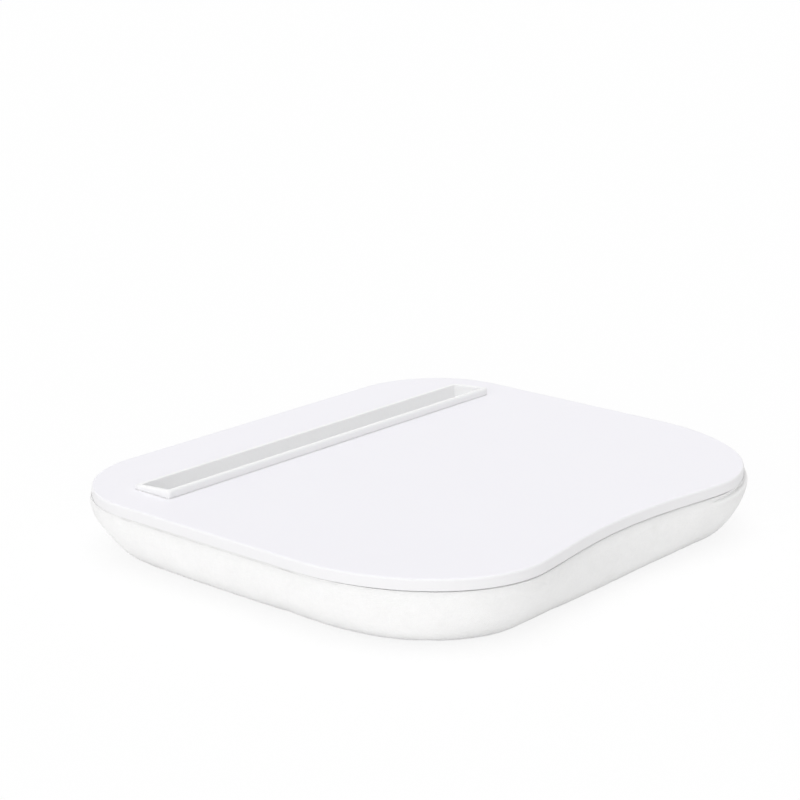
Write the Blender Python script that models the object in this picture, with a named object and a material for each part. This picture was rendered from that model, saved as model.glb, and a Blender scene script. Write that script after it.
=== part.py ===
"""Tablet lap tray: a flat board with a slot that holds a tablet upright, on a bead-filled cushion.

Metres, +Z up, +X to the user's right and -Y towards the user. The origin is the middle of the
tray's footprint, on the surface that the cushion stands on.
"""
import math

import bmesh
import bpy
from mathutils import Vector

MM = 0.001
QUARTER_TURN = math.pi / 2
SMOOTH_ANGLE = math.radians(35)

# Clearances
SEAT_GAP = 0.3 * MM
CUTTER_OVERRUN = 5.0 * MM

# Deck board, seen from above: elliptical front corners, round back corners and a belly cut
BOARD_BACK_WIDTH = 306.0 * MM
BOARD_FRONT_WIDTH = 303.0 * MM
BOARD_DEPTH = 276.0 * MM
BOARD_THICKNESS = 6.0 * MM
BACK_CORNER_RADIUS = 54.5 * MM
FRONT_CORNER_WIDTH = 71.5 * MM
FRONT_CORNER_DEPTH = 95.0 * MM
BELLY_CUT_DEPTH = 8.0 * MM
BELLY_CUT_POWER = 1.5
BOARD_TOP_ROUNDING = 1.2 * MM
BOARD_BOTTOM_ROUNDING = 0.5 * MM
ROUNDING_STEPS = 3

# Slot insert: a trough with a raised rim that is higher on the user's side
RIM_END_MARGIN = 23.0 * MM
RIM_DEPTH = 27.5 * MM
RIM_TO_BACK_EDGE = 43.5 * MM
RIM_WIDTH = 3.0 * MM
RIM_FRONT_HEIGHT = 4.7 * MM
RIM_BACK_HEIGHT = 2.5 * MM
RIM_CORNER_RADIUS = 2.0 * MM
RIM_LEAST_CORNER_RADIUS = 0.8 * MM
RIM_CORNER_STEPS = 4
RIM_EDGE_ROUNDING = 0.6 * MM
TROUGH_WALL = 1.5 * MM
TROUGH_FLOOR = 1.8 * MM
TROUGH_FILLET = 0.8 * MM
REBATE_DEPTH = 0.8 * MM
SNAP_HOOK_WIDTH = 10.0 * MM
SNAP_HOOK_REACH = 1.3 * MM
SNAP_HOOK_HEIGHT = 1.3 * MM
SNAP_HOOK_ROOT = 0.6 * MM
SNAP_HOOK_PLACE_SHARES = (-0.38, 0.0, 0.38)

# Hook and loop tapes between the board and the cushion
TAPE_LENGTH = 60.0 * MM
TAPE_WIDTH = 20.0 * MM
TAPE_THICKNESS = 1.2 * MM
TAPE_CORNER_RADIUS = 3.0 * MM
TAPE_CORNER_STEPS = 3
TAPE_SIDE_MARGIN = 20.0 * MM
TAPE_FRONT_MARGIN = 45.0 * MM
TAPE_SLOT_MARGIN = 30.0 * MM

# Cushion: a cover of one cloth with a turned hem, closed above by a lining panel
CUSHION_HEIGHT = 32.0 * MM
CUSHION_BULGE = 1.0 * MM
CUSHION_BULGE_DROP = 4.5 * MM
CUSHION_CREST_INSET = 4.0 * MM
CUSHION_DRAW_IN = 22.5 * MM
CUSHION_SIDE_POWER = 1.22
CUSHION_CROWN = 1.2 * MM
FLOOR_CUT = 0.5 * MM
COVER_THICKNESS = 1.2 * MM
HEM_INSET = 9.0 * MM
PANEL_THICKNESS = 1.0 * MM
PANEL_EDGE_INSET = 4.5 * MM
BAG_GAP = 0.3 * MM
SHOULDER_SHARE = 0.6
BELLY_FADE_SHARE = 0.65
SIDE_STEPS = 6
INNER_SIDE_STEPS = 4
CROWN_RING_SHARES = (0.90, 0.74)

# Colours and finishes: base colour, roughness, metallic
FINISHES = {
    "board_white": ((0.86, 0.86, 0.88), 0.45, 0.0),
    "moulded_white": ((0.88, 0.88, 0.89), 0.38, 0.0),
    "cover_cloth": ((0.84, 0.84, 0.83), 0.95, 0.0),
    "lining_cloth": ((0.80, 0.80, 0.79), 0.92, 0.0),
    "tape_hook": ((0.74, 0.74, 0.73), 0.70, 0.0),
    "tape_loop": ((0.78, 0.78, 0.77), 0.95, 0.0),
    "bag_cloth": ((0.76, 0.77, 0.78), 0.90, 0.0),
}

# Heights that follow from the sizes above
HALF_DEPTH = BOARD_DEPTH / 2
BOARD_UNDERSIDE = CUSHION_HEIGHT + SEAT_GAP
BOARD_TOP = BOARD_UNDERSIDE + BOARD_THICKNESS
HOOK_TAPE_BOTTOM = BOARD_UNDERSIDE - SEAT_GAP - TAPE_THICKNESS
LOOP_TAPE_BOTTOM = HOOK_TAPE_BOTTOM - SEAT_GAP - TAPE_THICKNESS
PANEL_TOP = LOOP_TAPE_BOTTOM - SEAT_GAP
PANEL_BOTTOM = PANEL_TOP - PANEL_THICKNESS
HEM_BOTTOM = PANEL_TOP + SEAT_GAP
TROUGH_BOTTOM = BOARD_UNDERSIDE - TROUGH_FLOOR
RIM_LENGTH = BOARD_BACK_WIDTH - 2 * RIM_END_MARGIN
RIM_CENTRE_Y = HALF_DEPTH - RIM_TO_BACK_EDGE - RIM_DEPTH / 2
BULGE_HEIGHT = CUSHION_HEIGHT - CUSHION_BULGE_DROP


def clear_scene():
    """Removes every object of the open file."""
    for item in list(bpy.data.objects):
        bpy.data.objects.remove(item, do_unlink=True)


def finish_material(name):
    """Returns the Principled material of a named finish."""
    colour, roughness, metallic = FINISHES[name]
    material = bpy.data.materials.new(name)
    material.use_nodes = True
    shader = material.node_tree.nodes["Principled BSDF"]
    shader.inputs["Base Color"].default_value = (*colour, 1.0)
    shader.inputs["Roughness"].default_value = roughness
    shader.inputs["Metallic"].default_value = metallic
    return material


def add_object(name, bm, finish=None, parent=None):
    """Makes an object from a bmesh, with its faces pointing out and its round faces smooth."""
    bmesh.ops.recalc_face_normals(bm, faces=bm.faces)
    mesh = bpy.data.meshes.new(name)
    bm.to_mesh(mesh)
    bm.free()
    mesh.shade_smooth()
    mesh.set_sharp_from_angle(angle=SMOOTH_ANGLE)
    item = bpy.data.objects.new(name, mesh)
    bpy.context.collection.objects.link(item)
    item.parent = parent
    if finish:
        mesh.materials.append(finish_material(finish))
    return item


def add_group(name, place):
    """Makes the empty that carries a sub-assembly."""
    empty = bpy.data.objects.new(name, None)
    bpy.context.collection.objects.link(empty)
    empty.location = place
    return empty


def arc(centre, radius_x, radius_y, start, end, steps):
    """Points on an arc of an ellipse, both ends included."""
    points = []
    for step in range(steps + 1):
        angle = start + (end - start) * step / steps
        x = centre[0] + radius_x * math.cos(angle)
        y = centre[1] + radius_y * math.sin(angle)
        points.append(Vector((x, y)))
    return points


def tray_outline(fineness, belly_share=1.0):
    """Points of the tray's plan, anticlockwise from the right-hand side.

    fineness multiplies the points on every curve, and belly_share is how much of the belly cut
    is left: 1 on the board, 0 where the front edge runs straight.
    """
    half_back, half_front = BOARD_BACK_WIDTH / 2, BOARD_FRONT_WIDTH / 2
    lobe = half_front - FRONT_CORNER_WIDTH
    back_centre = half_back - BACK_CORNER_RADIUS, HALF_DEPTH - BACK_CORNER_RADIUS
    front_centre_y = -HALF_DEPTH + FRONT_CORNER_DEPTH
    back_steps, front_steps = 7 * fineness, 9 * fineness
    belly_steps, side_steps = 10 * fineness, 2 * fineness

    right_back = arc(back_centre, BACK_CORNER_RADIUS, BACK_CORNER_RADIUS, 0, QUARTER_TURN, back_steps)
    right_front = arc((lobe, front_centre_y), FRONT_CORNER_WIDTH, FRONT_CORNER_DEPTH,
                      -QUARTER_TURN, 0, front_steps)
    belly = []
    for step in range(1, belly_steps):
        across = 2 * step / belly_steps - 1
        depth = BELLY_CUT_DEPTH * belly_share * (1 - across * across) ** BELLY_CUT_POWER
        belly.append(Vector((lobe * across, depth - HALF_DEPTH)))
    right_side = between(right_front[-1], right_back[0], side_steps)
    back_edge = between(right_back[-1], mirrored(right_back[-1]), side_steps)
    left_back = [mirrored(point) for point in reversed(right_back)]
    left_front = [mirrored(point) for point in reversed(right_front)]
    left_side = [mirrored(point) for point in reversed(right_side)]
    return right_back + back_edge + left_back + left_side + left_front + belly + right_front + right_side


def mirrored(point):
    """The same point on the tray's other half."""
    return Vector((-point.x, point.y))


def between(start, end, steps):
    """Points that divide a straight line, its ends left out."""
    return [start.lerp(end, step / steps) for step in range(1, steps)]


def offset_outline(points, outset):
    """Moves each point of a closed anticlockwise outline square to it, outwards if outset is positive."""
    moved = []
    for index, point in enumerate(points):
        along = points[(index + 1) % len(points)] - points[index - 1]
        along.normalize()
        moved.append(point + Vector((along.y, -along.x)) * outset)
    return moved


def rounded_rectangle(length, depth, radius, steps):
    """Anticlockwise points of a rectangle with round corners, centred on the origin."""
    corners = []
    for sign_x, sign_y, start in ((1, 1, 0), (-1, 1, 1), (-1, -1, 2), (1, -1, 3)):
        centre = sign_x * (length / 2 - radius), sign_y * (depth / 2 - radius)
        corners += arc(centre, radius, radius, start * QUARTER_TURN, (start + 1) * QUARTER_TURN, steps)
    return corners


def rim_outline(inset):
    """The rim's plan, or a line inside it, with corners that stay round."""
    radius = max(RIM_CORNER_RADIUS - inset, RIM_LEAST_CORNER_RADIUS)
    return rounded_rectangle(RIM_LENGTH - 2 * inset, RIM_DEPTH - 2 * inset, radius, RIM_CORNER_STEPS)


def ring_at(points, height):
    """A ring of 3-D points at one height."""
    return [Vector((point.x, point.y, height)) for point in points]


def solid_of_rings(rings):
    """A closed body: a skin over rings of equal count, with a face over the first and the last."""
    bm = bmesh.new()
    rows = [[bm.verts.new(point) for point in ring] for ring in rings]
    for lower, upper in zip(rows, rows[1:]):
        for index in range(len(lower)):
            following = (index + 1) % len(lower)
            bm.faces.new((lower[index], lower[following], upper[following], upper[index]))
    caps = [bm.faces.new(reversed(rows[0])), bm.faces.new(rows[-1])]
    bmesh.ops.triangulate(bm, faces=caps)
    return bm


def rounded_edge(radius, steps, start, end):
    """Offsets (inwards, upwards) along a quarter round, from angle start to angle end."""
    offsets = []
    for step in range(steps + 1):
        angle = start + (end - start) * step / steps
        offsets.append((radius * (1 - math.cos(angle)), radius * math.sin(angle)))
    return offsets


def cut_with(target, cutter, operation="DIFFERENCE"):
    """Adds an exact Boolean to target and keeps its operand out of the build."""
    cutter.hide_render = True
    cutter.display_type = "WIRE"
    modifier = target.modifiers.new(cutter.name, "BOOLEAN")
    modifier.operation = operation
    modifier.solver = "EXACT"
    modifier.object = cutter


def make_deck_board(tray):
    """The board, with rounded edges, and the slot and rebate that the insert drops into."""
    outline = tray_outline(fineness=2)
    rings = []
    for inset, rise in reversed(rounded_edge(BOARD_BOTTOM_ROUNDING, ROUNDING_STEPS, 0, QUARTER_TURN)):
        height = BOARD_UNDERSIDE + BOARD_BOTTOM_ROUNDING - rise
        rings.append(ring_at(offset_outline(outline, -inset), height))
    for inset, rise in rounded_edge(BOARD_TOP_ROUNDING, ROUNDING_STEPS, 0, QUARTER_TURN):
        height = BOARD_TOP - BOARD_TOP_ROUNDING + rise
        rings.append(ring_at(offset_outline(outline, -inset), height))
    board = add_object("deck_board", solid_of_rings(rings), "board_white", tray)

    slot = rim_outline(RIM_WIDTH - TROUGH_WALL - SEAT_GAP)
    rebate = rim_outline(-SEAT_GAP)
    ledge = BOARD_TOP - REBATE_DEPTH
    steps = [ring_at(slot, BOARD_UNDERSIDE - CUTTER_OVERRUN), ring_at(slot, ledge)]
    steps += [ring_at(rebate, ledge), ring_at(rebate, BOARD_TOP + CUTTER_OVERRUN)]
    cutter = add_object("slot_cutter", solid_of_rings(steps), None, tray)
    cutter.location = (0, RIM_CENTRE_Y, 0)
    cut_with(board, cutter)


def rim_top(y):
    """Height of the rim's top above the board, y measured from the rim's middle."""
    share = (y + RIM_DEPTH / 2) / RIM_DEPTH
    return RIM_FRONT_HEIGHT + (RIM_BACK_HEIGHT - RIM_FRONT_HEIGHT) * share


def make_slot_insert(tray):
    """The trough: outside up to the rim, over its rounded top and down inside to the floor."""
    wall_inset = RIM_WIDTH - TROUGH_WALL
    flange_bottom = BOARD_TOP - REBATE_DEPTH + SEAT_GAP
    edge = rounded_edge(RIM_EDGE_ROUNDING, ROUNDING_STEPS, 0, QUARTER_TURN)

    def ring(inset, height):
        return ring_at(rim_outline(inset), height)

    def top_ring(inset, drop):
        outline = rim_outline(inset)
        return [Vector((point.x, point.y, BOARD_TOP + rim_top(point.y) - drop)) for point in outline]

    rings = [ring(wall_inset, TROUGH_BOTTOM), ring(wall_inset, flange_bottom), ring(0, flange_bottom)]
    rings += [top_ring(inset, RIM_EDGE_ROUNDING - rise) for inset, rise in edge]
    rings += [top_ring(RIM_WIDTH - inset, RIM_EDGE_ROUNDING - rise) for inset, rise in reversed(edge)]
    fillet = rounded_edge(TROUGH_FILLET, ROUNDING_STEPS, 0, QUARTER_TURN)
    rings += [ring(RIM_WIDTH + inset, BOARD_UNDERSIDE + TROUGH_FILLET - rise) for inset, rise in fillet]
    insert = add_object("slot_insert", solid_of_rings(rings), "moulded_white", tray)
    insert.location = (0, RIM_CENTRE_Y, 0)
    cut_with(insert, make_snap_hooks(tray), "UNION")


def make_snap_hooks(tray):
    """The wedges that catch under the board's slot, in front of and behind the trough."""
    wall_y = RIM_DEPTH / 2 - RIM_WIDTH + TROUGH_WALL
    top = BOARD_UNDERSIDE - SEAT_GAP
    section = ((wall_y - SNAP_HOOK_ROOT, top), (wall_y + SNAP_HOOK_REACH, top),
               (wall_y - SNAP_HOOK_ROOT, top - SNAP_HOOK_HEIGHT))
    bm = bmesh.new()
    for side in (-1, 1):
        for share in SNAP_HOOK_PLACE_SHARES:
            middle = share * RIM_LENGTH
            ends = []
            for x in (middle - SNAP_HOOK_WIDTH / 2, middle + SNAP_HOOK_WIDTH / 2):
                ends.append([bm.verts.new((x, side * y, z)) for y, z in section])
            bm.faces.new(ends[0])
            bm.faces.new(reversed(ends[1]))
            for index in range(len(section)):
                following = (index + 1) % len(section)
                bm.faces.new((ends[0][following], ends[0][index], ends[1][index], ends[1][following]))
    hooks = add_object("snap_hook_wedges", bm, None, tray)
    hooks.location = (0, RIM_CENTRE_Y, 0)
    return hooks


def half_width_at(y):
    """Half of the board's width at one distance from its middle, read off its outline."""
    outline = tray_outline(1)
    for point, following in zip(outline, outline[1:] + outline[:1]):
        if point.x > 0 and min(point.y, following.y) <= y < max(point.y, following.y):
            return point.lerp(following, (y - point.y) / (following.y - point.y)).x


def tape_places():
    """Names and middles of the strips: two by the front corners, two in front of the slot."""
    front_edge = TAPE_FRONT_MARGIN - HALF_DEPTH
    back_edge = RIM_CENTRE_Y - RIM_DEPTH / 2 - TAPE_SLOT_MARGIN
    places = {}
    for row, edge, middle in (("front", front_edge, front_edge + TAPE_WIDTH / 2),
                              ("back", back_edge, back_edge - TAPE_WIDTH / 2)):
        x = half_width_at(edge) - TAPE_SIDE_MARGIN - TAPE_LENGTH / 2
        places[f"{row}_left"] = -x, middle
        places[f"{row}_right"] = x, middle
    return places


def make_tapes(kind, bottom, finish, tray):
    """One layer of the tape strips, each its own piece, which share a mesh."""
    strip = rounded_rectangle(TAPE_LENGTH, TAPE_WIDTH, TAPE_CORNER_RADIUS, TAPE_CORNER_STEPS)
    mesh = None
    for place, (x, y) in tape_places().items():
        if mesh is None:
            layer = solid_of_rings([ring_at(strip, 0), ring_at(strip, TAPE_THICKNESS)])
            item = add_object(f"{kind}_{place}", layer, finish, tray)
            mesh = item.data
        else:
            item = bpy.data.objects.new(f"{kind}_{place}", mesh)
            bpy.context.collection.objects.link(item)
            item.parent = tray
        item.location = (x, y, bottom)


def cushion_side(steps, shrink):
    """Outsets and heights down the cushion's side, from its bulge to its foot.

    shrink is how far the curve lies inside the cover's outer face.
    """
    foot = CUSHION_CROWN
    curve = []
    for step in range(steps + 1):
        angle = QUARTER_TURN * step / steps
        inward = (CUSHION_DRAW_IN + CUSHION_BULGE) * (1 - math.cos(angle) ** CUSHION_SIDE_POWER)
        down = (BULGE_HEIGHT - foot) * math.sin(angle) ** CUSHION_SIDE_POWER
        outset = CUSHION_BULGE - inward - shrink * math.cos(angle)
        curve.append((outset, BULGE_HEIGHT - down + shrink * math.sin(angle)))
    return curve


def belly_share_at(height):
    """The belly cut fades out down the side, and near the foot the front runs straight."""
    return max(0, 1 - (CUSHION_HEIGHT - height) / (CUSHION_HEIGHT * BELLY_FADE_SHARE))


def cushion_ring(outset, height):
    """One level ring of the cushion."""
    outline = tray_outline(1, belly_share_at(height))
    return ring_at(offset_outline(outline, outset), height)


def crown_rings(lift, shares):
    """Rings of the crowned bottom inside the foot, and the rim of the part that stands flat."""
    foot = tray_outline(1, belly_share_at(CUSHION_CROWN))
    foot = offset_outline(foot, -CUSHION_DRAW_IN)
    flat_share = math.sqrt(FLOOR_CUT / (CUSHION_CROWN + FLOOR_CUT))
    rings = []
    for share in (*shares, flat_share):
        height = (CUSHION_CROWN + FLOOR_CUT) * share * share - FLOOR_CUT
        rings.append(ring_at([point * share for point in foot], max(0, height) + lift))
    return rings


def make_cushion_cover(tray):
    """Cover: hem, crest under the board's rim, drawn-in side and crowned bottom, then its inner face."""
    shoulder = CUSHION_BULGE * SHOULDER_SHARE, CUSHION_HEIGHT - CUSHION_BULGE_DROP * (1 - SHOULDER_SHARE) / 2
    hem_top = HEM_BOTTOM + COVER_THICKNESS
    outer = [(-HEM_INSET, hem_top), (-(HEM_INSET + CUSHION_CREST_INSET) / 2, (hem_top + CUSHION_HEIGHT) / 2),
             (-CUSHION_CREST_INSET, CUSHION_HEIGHT), (-COVER_THICKNESS, CUSHION_HEIGHT - SEAT_GAP), shoulder]
    outer += cushion_side(SIDE_STEPS, 0)
    inner = [(-HEM_INSET, HEM_BOTTOM), (-PANEL_EDGE_INSET, HEM_BOTTOM + SEAT_GAP)]
    inner += [(CUSHION_BULGE - COVER_THICKNESS - SEAT_GAP, HEM_BOTTOM)]
    inner += cushion_side(INNER_SIDE_STEPS, COVER_THICKNESS)
    rings = [cushion_ring(outset, height) for outset, height in reversed(inner)]
    rings.insert(0, crown_rings(COVER_THICKNESS, ())[0])
    rings += [cushion_ring(outset, height) for outset, height in outer]
    rings += crown_rings(0, CROWN_RING_SHARES)
    add_object("cushion_cover", solid_of_rings(rings), "cover_cloth", tray)


def make_top_panel(tray):
    """The lining cloth that the hem is sewn to."""
    outline = offset_outline(tray_outline(1), -PANEL_EDGE_INSET)
    rings = [ring_at(outline, PANEL_BOTTOM), ring_at(outline, PANEL_TOP)]
    add_object("cushion_top_panel", solid_of_rings(rings), "lining_cloth", tray)


def make_bead_bag(tray):
    """The filled inner bag, which follows the inside of the cover."""
    inside = COVER_THICKNESS + BAG_GAP
    top = PANEL_BOTTOM - SEAT_GAP
    rings = [crown_rings(inside, ())[0]]
    side = [(outset, height) for outset, height in cushion_side(INNER_SIDE_STEPS, inside) if height < top]
    rings += [cushion_ring(outset, height) for outset, height in reversed(side)]
    rings.append(cushion_ring(-PANEL_EDGE_INSET, top))
    add_object("bead_bag", solid_of_rings(rings), "bag_cloth", tray)


def main():
    """Builds the tray from the cushion up."""
    clear_scene()
    tray = add_group("tablet_lap_tray", (0, 0, 0))
    make_cushion_cover(tray)
    make_bead_bag(tray)
    make_top_panel(tray)
    make_tapes("loop_tape", LOOP_TAPE_BOTTOM, "tape_loop", tray)
    make_tapes("hook_tape", HOOK_TAPE_BOTTOM, "tape_hook", tray)
    make_deck_board(tray)
    make_slot_insert(tray)


if __name__ == "__main__":
    main()
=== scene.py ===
"""Looks of the tablet lap tray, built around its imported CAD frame.

The tray is a lacquered board with a moulded slot near its back edge, held by hook and loop tapes
to a cushion that is filled with beads. Metres, +X to the user's right, -Y towards the user, +Z up.
Each sub-assembly is a class that holds its sizes, builds its meshes and dresses them.
"""
from __future__ import annotations

import logging
import math
from collections.abc import Callable, Mapping, Sequence
from dataclasses import dataclass
from enum import Enum
from typing import Any, Union

import bmesh
import bpy
import numpy as np
from mathutils import Matrix, Vector, geometry, noise


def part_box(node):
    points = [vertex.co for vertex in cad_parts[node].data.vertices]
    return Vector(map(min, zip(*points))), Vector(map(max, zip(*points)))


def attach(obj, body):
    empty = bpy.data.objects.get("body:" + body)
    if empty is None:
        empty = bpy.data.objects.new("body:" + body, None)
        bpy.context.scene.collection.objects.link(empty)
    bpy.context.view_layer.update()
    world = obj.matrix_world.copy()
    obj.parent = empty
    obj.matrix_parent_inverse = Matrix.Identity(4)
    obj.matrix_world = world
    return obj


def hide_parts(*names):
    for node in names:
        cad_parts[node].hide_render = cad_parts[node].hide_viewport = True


LOG = logging.getLogger("lap_tray")
MM = 0.001
FULL_TURN = 2 * math.pi
QUARTER_TURN = FULL_TURN / 4
SMOOTH_ANGLE = math.radians(32)
WHITE = (1.0, 1.0, 1.0)

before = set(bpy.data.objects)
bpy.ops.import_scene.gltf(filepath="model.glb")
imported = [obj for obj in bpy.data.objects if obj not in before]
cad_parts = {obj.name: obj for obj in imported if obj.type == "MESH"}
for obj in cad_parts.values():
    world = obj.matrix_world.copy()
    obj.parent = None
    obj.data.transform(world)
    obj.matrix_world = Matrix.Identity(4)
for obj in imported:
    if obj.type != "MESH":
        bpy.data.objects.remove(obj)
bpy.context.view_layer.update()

Colour = tuple[float, float, float]
Value = Union["Wire", float]
Points = np.ndarray
Piece = bpy.types.Object


class Slot(Enum):
    """The record's material slots."""

    BOARD = "board_white"
    MOULDING = "moulded_white"
    COVER = "cover_cloth"
    LINING = "lining_cloth"
    BAG = "bag_cloth"
    HOOK_TAPE = "tape_hook"
    LOOP_TAPE = "tape_loop"


class Pile(Enum):
    """What stands on a tape, with the first part of its nodes' names."""

    HOOKS = "hook_tape"
    LOOPS = "loop_tape"


class Attribute(Enum):
    """Vectors that meshes hold for their materials and for sculpting."""

    CLOTH = "cloth_place"
    RIM = "rim_place"
    ASIDE = "rim_aside"


# Shader expressions


@dataclass(frozen=True)
class Wire:
    """A node's output socket, which sums and products take as a value."""

    graph: Graph
    socket: bpy.types.NodeSocket

    def __add__(self, other: Value) -> Wire:
        """Adds a value."""
        return self.graph.math("ADD", self, other)

    def __radd__(self, other: Value) -> Wire:
        """Adds to a number."""
        return self.graph.math("ADD", other, self)

    def __sub__(self, other: Value) -> Wire:
        """Takes a value away."""
        return self.graph.math("SUBTRACT", self, other)

    def __rsub__(self, other: Value) -> Wire:
        """Takes the wire from a number."""
        return self.graph.math("SUBTRACT", other, self)

    def __mul__(self, other: Value) -> Wire:
        """Multiplies by a value."""
        return self.graph.math("MULTIPLY", self, other)

    def __rmul__(self, other: Value) -> Wire:
        """Multiplies a number."""
        return self.graph.math("MULTIPLY", other, self)

    def also(self, output: str | int) -> Wire:
        """Another output of the same node."""
        return self.graph.wire(self.socket.node, output)


class Graph:
    """The nodes of a material or a world, written as expressions."""

    def __init__(self, block: bpy.types.Material | bpy.types.World) -> None:
        """Starts on the nodes that the material or world has."""
        block.use_nodes = True
        self.tree = block.node_tree

    @staticmethod
    def socket(sockets: bpy.types.bpy_prop_collection, key: str | int) -> bpy.types.NodeSocket:
        """Finds a socket.

        Args:
            sockets: A node's inputs or outputs.
            key: Its number, or its name among the sockets in use.

        Returns:
            The socket.
        """
        if isinstance(key, int):
            return sockets[key]
        return next(each for each in sockets if each.name == key and each.enabled)

    def wire(self, node: bpy.types.Node, output: str | int) -> Wire:
        """An output of a node."""
        return Wire(self, self.socket(node.outputs, output))

    def feed(self, node: bpy.types.Node, inputs: Mapping[str | int, Any]) -> None:
        """Links wires to a node's inputs, or sets the inputs' values.

        Args:
            node: The node.
            inputs: A wire, a number, a vector or a colour for each name or number of a socket.
        """
        for key, value in inputs.items():
            socket = self.socket(node.inputs, key)
            if isinstance(value, Wire):
                self.tree.links.new(value.socket, socket)
            else:
                socket.default_value = (*value, 1.0) if socket.type == "RGBA" else value

    def node(self, kind: str, settings: Mapping[str, Any] | None = None,
             inputs: Mapping[str | int, Any] | None = None, output: str | int = 0) -> Wire:
        """Adds any node.

        Args:
            kind: The node's type.
            settings: Its settings, which are set first.
            inputs: Values or wires for its sockets.
            output: The output that is wanted.

        Returns:
            That output.
        """
        made = self.tree.nodes.new(kind)
        for name, value in (settings or {}).items():
            setattr(made, name, value)
        self.feed(made, inputs or {})
        return self.wire(made, output)

    def math(self, operation: str, *values: Value) -> Wire:
        """The result of an operation on values, in their order."""
        return self.node("ShaderNodeMath", {"operation": operation}, dict(enumerate(values)))

    def place(self) -> Wire:
        """The point on the object, in metres."""
        return self.node("ShaderNodeTexCoord", output="Object")

    def upward(self) -> Wire:
        """How far the surface faces up, from -1 to 1."""
        return self.parts(self.node("ShaderNodeTexCoord", output="Normal"))[2]

    def parts(self, vector: Wire) -> tuple[Wire, Wire, Wire]:
        """A vector's X, Y and Z."""
        x = self.node("ShaderNodeSeparateXYZ", inputs={"Vector": vector})
        return x, x.also(1), x.also(2)

    def stored(self, attribute: Attribute) -> Wire:
        """A vector that the mesh holds at each point."""
        settings = {"attribute_name": attribute.value}
        return self.node("ShaderNodeAttribute", settings, output="Vector")

    def stretched(self, vector: Wire, shares: Sequence[float]) -> Wire:
        """A vector with each part multiplied by its own share."""
        return self.node("ShaderNodeVectorMath", {"operation": "MULTIPLY"}, {0: vector, 1: shares})

    def noise(self, vector: Wire, size: float, detail: float = 2.0, roughness: float = 0.5) -> Wire:
        """Noise round one half, in patches about as wide as size, with finer layers as detail."""
        return self.node("ShaderNodeTexNoise", inputs={
            "Vector": vector, "Scale": 1 / size, "Detail": detail, "Roughness": roughness})

    def cells(self, vector: Wire, size: float) -> Wire:
        """Round cells, 0 at their middles."""
        inputs = {"Vector": vector, "Scale": 1 / size, "Smoothness": 0.6}
        return self.node("ShaderNodeTexVoronoi", {"feature": "SMOOTH_F1"}, inputs, "Distance")

    def step(self, value: Value, low: float, high: float) -> Wire:
        """A smooth rise from 0 at low to 1 at high."""
        inputs = {"Value": value, "From Min": low, "From Max": high}
        return self.node("ShaderNodeMapRange", {"interpolation_type": "SMOOTHSTEP"}, inputs)

    def waves(self, distance: Wire, pitch: float) -> Wire:
        """A sine along a distance, from -1 to 1."""
        return self.math("SINE", distance * (FULL_TURN / pitch))

    def blend(self, share: Value, first: Colour | Wire, second: Colour | Wire) -> Wire:
        """A mix of two colours, in which the second has the share."""
        inputs = {"Factor": share, "A": first, "B": second}
        return self.node("ShaderNodeMix", {"data_type": "RGBA"}, inputs, "Result")


# Finishes


@dataclass(frozen=True)
class Skin:
    """What a finish gives to the shader.

    Attributes:
        relief: The surface's height, in metres.
        constants: Values of other sockets, the same all over.
    """

    colour: Wire
    roughness: Value
    relief: Wire
    constants: Mapping[str, float]


@dataclass(frozen=True)
class Finish:
    """A surface finish, which makes one material.

    Attributes:
        colour: The main colour.
        roughness: The mean roughness.
    """

    name: str
    colour: Colour
    roughness: float

    def tinted(self, share: float) -> Colour:
        """The colour, darker or lighter by a share."""
        return tuple(min(1.0, part * (1 + share)) for part in self.colour)

    def mottled(self, graph: Graph, pattern: Wire, darker: float, lighter: float) -> Wire:
        """The colour, darker where the pattern is 0 and lighter where it is 1."""
        return graph.blend(pattern, self.tinted(-darker), self.tinted(lighter))

    def hazed(self, pattern: Wire, haze: float) -> Wire:
        """The roughness, varied with a pattern round one half."""
        return self.roughness + (pattern - 0.5) * haze

    def skin(self, graph: Graph) -> Skin:
        """Builds the finish's nodes in a material's graph."""
        raise NotImplementedError

    def material(self) -> bpy.types.Material:
        """Makes the material.

        Returns:
            A Principled material with this finish.
        """
        made = bpy.data.materials.new(self.name)
        graph = Graph(made)
        skin = self.skin(graph)
        bump = {"Strength": 1.0, "Distance": 1.0, "Height": skin.relief}
        graph.feed(graph.tree.nodes["Principled BSDF"], {
            "Base Color": skin.colour, "Roughness": skin.roughness,
            "Normal": graph.node("ShaderNodeBump", inputs=bump), **skin.constants})
        return made


@dataclass(frozen=True)
class SatinLacquer(Finish):
    """Sprayed satin lacquer on a fibreboard: a faint orange peel, and a cooler top than edge.

    Attributes:
        top_starts: How far a surface faces up where the top's colour starts.
        haze: How much the roughness differs from patch to patch.
        tint: How much darker or lighter the patches are.
    """

    edge_colour: Colour = (0.838, 0.834, 0.845)
    top_starts: float = 0.75
    haze_size: float = 45 * MM
    haze: float = 0.08
    tint: float = 0.008
    peel_size: float = 1.8 * MM
    peel_depth: float = 0.004 * MM
    grit_size: float = 0.25 * MM
    grit_depth: float = 0.0012 * MM

    def skin(self, graph: Graph) -> Skin:
        """Builds the lacquer's nodes.

        Args:
            graph: The material's graph.

        Returns:
            What the shader takes.
        """
        place = graph.place()
        patches = graph.noise(place, self.haze_size, detail=3.0)
        peel = graph.noise(place, self.peel_size, detail=1.0)
        grit = graph.noise(place, self.grit_size)
        lacquer = self.mottled(graph, patches, self.tint, self.tint)
        top = graph.step(graph.upward(), self.top_starts, 1.0)
        return Skin(graph.blend(top, self.edge_colour, lacquer), self.hazed(patches, self.haze),
                    peel * self.peel_depth + grit * self.grit_depth,
                    {"IOR": 1.46, "Specular IOR Level": 0.45})


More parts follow.
